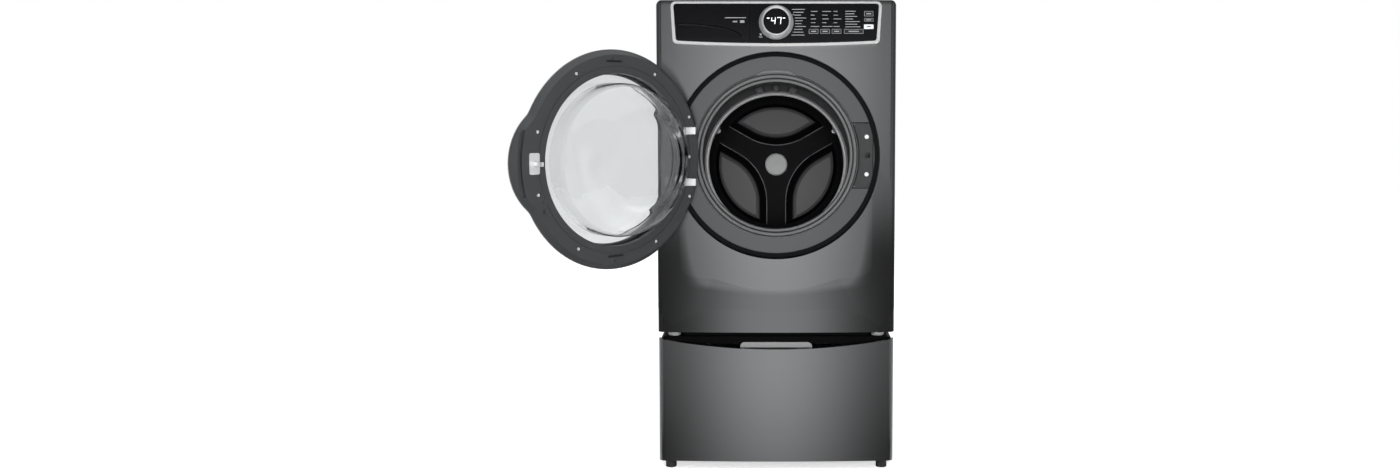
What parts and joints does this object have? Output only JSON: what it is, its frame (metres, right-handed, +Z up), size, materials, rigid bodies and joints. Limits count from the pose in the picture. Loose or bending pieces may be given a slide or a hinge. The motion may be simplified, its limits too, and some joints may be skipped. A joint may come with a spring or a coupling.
{
  "type": "front load washing machine",
  "caption": "Front load washing machine on a drawer pedestal, with a hinged round glass door, turning drum, dispenser drawer, selector knob and push keys.",
  "frame": {"origin": "on the floor at the middle of the four pedestal feet", "axes": "+X to the right seen from the front, +Y to the back, +Z up; the door faces -Y"},
  "size_m": [1.0074, 1.1505, 1.362],
  "materials": {
    "graphite_paint": "satin graphite paint",
    "galvanised": "galvanised sheet",
    "black_sheet": "black coated sheet",
    "dark_plastic": "charcoal moulded plastic",
    "lock_plastic": "grey plastic with bright screws",
    "bright": "polished",
    "black_gloss": "piano black",
    "key_plastic": "dark translucent keys",
    "lit_key": "white lit key",
    "gasket_rubber": "grey seal rubber",
    "silver_shell": "silver paint",
    "clear": "clear",
    "drum_steel": "stainless",
    "lifter_plastic": "grey plastic",
    "tub_plastic": "glass-filled plastic",
    "ballast": "cast ballast",
    "drive_metal": "cast",
    "steel": "plain steel",
    "belt_rubber": "ribbed belt",
    "light_plastic": "light grey plastic",
    "black_plastic": "black plastic"
  },
  "bodies": {
    "cabinet": {"base_frame": "black_sheet", "left_side_panel": "graphite_paint", "right_side_panel": "graphite_paint", "rear_panel": "galvanised", "rear_access_cover": "galvanised", "top_panel": "graphite_paint", "front_panel": "graphite_paint", "door_surround_ring": "dark_plastic", "door_lock": "lock_plastic", "hinge_bracket": "bright", "console_fascia": "black_gloss", "console_trim": "bright", "control_board_box": "light_plastic", "dispenser_housing": "light_plastic", "water_valve": "light_plastic", "drain_pump": "black_plastic", "drain_outlet": "black_plastic", "power_gland": "black_plastic", "door_gasket": "gasket_rubber", "suspension_springs": "steel", "damper_bodies": "steel", "washer_feet": "light_plastic", "pedestal_shell": "graphite_paint", "pedestal_deck": "black_sheet", "drawer_runners": "galvanised", "pedestal_feet": "black_plastic"},
    "door": {"door_outer_shell": "silver_shell", "door_inner_frame": "dark_plastic", "door_glass": "clear", "door_window": "clear", "door_striker": "bright", "door_hinge": "bright", "door_screws": "bright"},
    "tub": {"tub_rear": "tub_plastic", "tub_front": "tub_plastic", "counterweight": "ballast", "drum_bearings": "steel", "drive_motor": "drive_metal", "drive_belt": "belt_rubber", "damper_rods": "steel"},
    "drum": {"drum_shell": "drum_steel", "drum_back": "drum_steel", "drum_lifters": "lifter_plastic", "drum_spider": "drive_metal", "hub_cap": "lifter_plastic", "drum_pulley": "drive_metal"},
    "motor_rotor": {"motor_pulley": "drive_metal"},
    "dispenser": {"dispenser_drawer": "light_plastic", "dispenser_front": "black_gloss", "dispenser_trim": "bright"},
    "knob": {"selector_knob": "bright"},
    "pedestal_drawer": {"drawer_front": "graphite_paint", "drawer_bin": "light_plastic"},
    "temp_button": {"temp_key": "key_plastic"},
    "soil_button": {"soil_key": "key_plastic"},
    "spin_button": {"spin_key": "key_plastic"},
    "options_button": {"options_key": "key_plastic"},
    "start_button": {"start_key": "key_plastic"},
    "pause_button": {"pause_key": "key_plastic"},
    "power_button": {"power_key": "lit_key"}
  },
  "joints": [
    {"name": "door_hinge", "type": "hinge", "parent": "cabinet", "child": "door", "pos_m": [-0.255, -0.372, 0.919], "axis": [0, 0, 1], "range_deg": [0, 135]},
    {"name": "tub_bounce", "type": "slide", "parent": "cabinet", "child": "tub", "axis": [0, 0, 1], "range_m": [-0.012, 0.012], "stiffness_N_per_m": 60000, "springref_m": 0.0084, "deforming": ["door_gasket", "suspension_springs"]},
    {"name": "drum_spin", "type": "hinge", "parent": "tub", "child": "drum", "pos_m": [0, -0.01873, 0.87807], "axis": [0, 0.9976, -0.0698], "continuous": true},
    {"name": "motor_spin", "type": "hinge", "parent": "tub", "child": "motor_rotor", "pos_m": [0, 0.21439, 0.49889], "axis": [0, 0.9976, -0.0698], "continuous": true},
    {"name": "dispenser_slide", "type": "slide", "parent": "cabinet", "child": "dispenser", "axis": [0, -1, 0], "range_m": [0, 0.17]},
    {"name": "selector_turn", "type": "hinge", "parent": "cabinet", "child": "knob", "pos_m": [0, -0.35713, 1.29747], "axis": [0, 0.9945, -0.1045], "continuous": true},
    {"name": "drawer_slide", "type": "slide", "parent": "cabinet", "child": "pedestal_drawer", "axis": [0, -1, 0], "range_m": [0, 0.4]},
    {"name": "temp_press", "type": "slide", "parent": "cabinet", "child": "temp_button", "axis": [0, 0.9945, -0.1045], "range_m": [0, 0.001], "stiffness_N_per_m": 900, "springref_m": -0.0005},
    {"name": "soil_press", "type": "slide", "parent": "cabinet", "child": "soil_button", "axis": [0, 0.9945, -0.1045], "range_m": [0, 0.001], "stiffness_N_per_m": 900, "springref_m": -0.0005},
    {"name": "spin_press", "type": "slide", "parent": "cabinet", "child": "spin_button", "axis": [0, 0.9945, -0.1045], "range_m": [0, 0.001], "stiffness_N_per_m": 900, "springref_m": -0.0005},
    {"name": "options_press", "type": "slide", "parent": "cabinet", "child": "options_button", "axis": [0, 0.9945, -0.1045], "range_m": [0, 0.001], "stiffness_N_per_m": 900, "springref_m": -0.0005},
    {"name": "start_press", "type": "slide", "parent": "cabinet", "child": "start_button", "axis": [0, 0.9945, -0.1045], "range_m": [0, 0.001], "stiffness_N_per_m": 900, "springref_m": -0.0005},
    {"name": "pause_press", "type": "slide", "parent": "cabinet", "child": "pause_button", "axis": [0, 0.9945, -0.1045], "range_m": [0, 0.001], "stiffness_N_per_m": 900, "springref_m": -0.0005},
    {"name": "power_press", "type": "slide", "parent": "cabinet", "child": "power_button", "axis": [0, 0.9945, -0.1045], "range_m": [0, 0.001], "stiffness_N_per_m": 900, "springref_m": -0.0005}
  ],
  "couplings": [
    {"joint": "motor_spin", "follows": "drum_spin", "ratio": 12.5}
  ]
}
